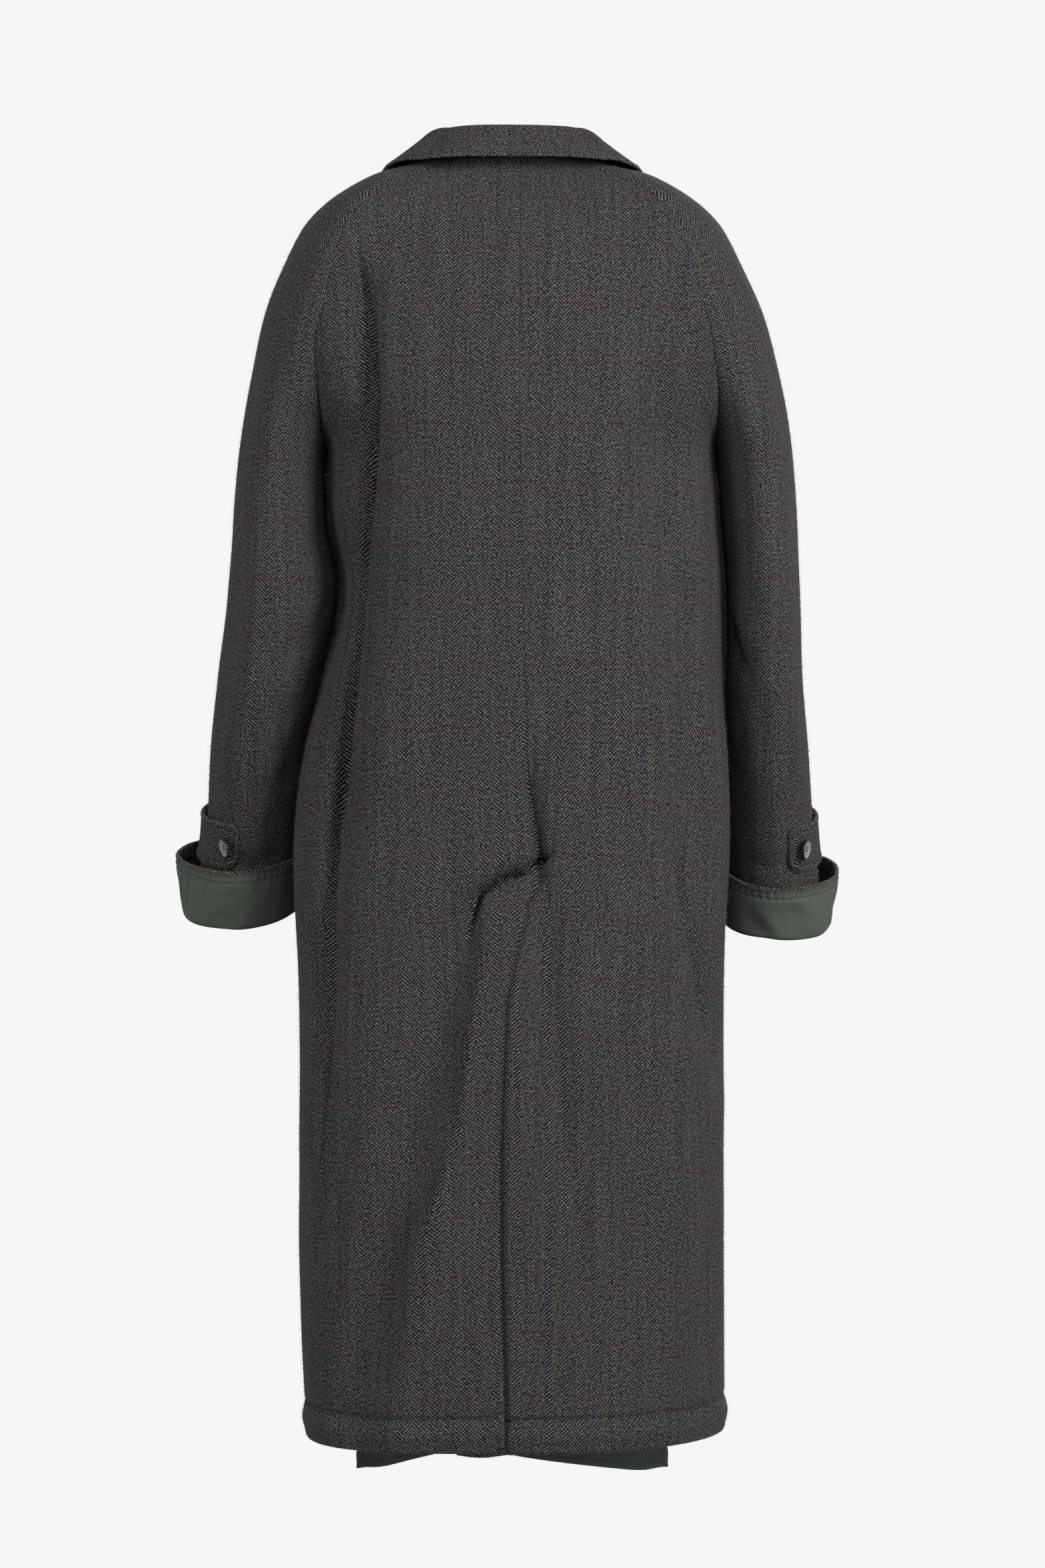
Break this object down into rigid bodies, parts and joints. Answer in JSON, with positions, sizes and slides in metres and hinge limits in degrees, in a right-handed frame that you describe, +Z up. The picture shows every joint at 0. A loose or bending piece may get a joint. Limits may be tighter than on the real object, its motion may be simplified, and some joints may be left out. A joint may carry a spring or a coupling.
{
  "type": "wool overcoat",
  "caption": "Long raglan overcoat in herringbone wool with turned-back cotton cuffs, cuff tabs, a turned-down collar and a back vent, holding a wearer's shape.",
  "frame": {"origin": "the middle of the neck opening, level with the shoulder line, where the coat hangs from the wearer's shoulders", "axes": "+Z up, +Y out of the chest, +X to the wearer's right"},
  "size_m": [0.6696, 0.3424, 1.3571],
  "materials": {
    "wool": "napped herringbone wool",
    "cotton": "brushed green cotton twill",
    "button": "grey-green horn-look buttons with dark rims",
    "thread": "dark sewing thread"
  },
  "bodies": {
    "root": {"back_left": "wool", "back_right": "wool", "front_left": "wool", "front_right": "wool", "sleeve_left": "wool", "sleeve_right": "wool", "collar": "wool", "cuff_left": "cotton", "cuff_right": "cotton", "tab_left": "wool", "tab_right": "wool", "cuff_button_left": "button", "cuff_button_right": "button", "front_button_1": "button", "front_button_2": "button", "front_button_3": "button", "front_button_4": "button"}
  },
  "joints": []
}
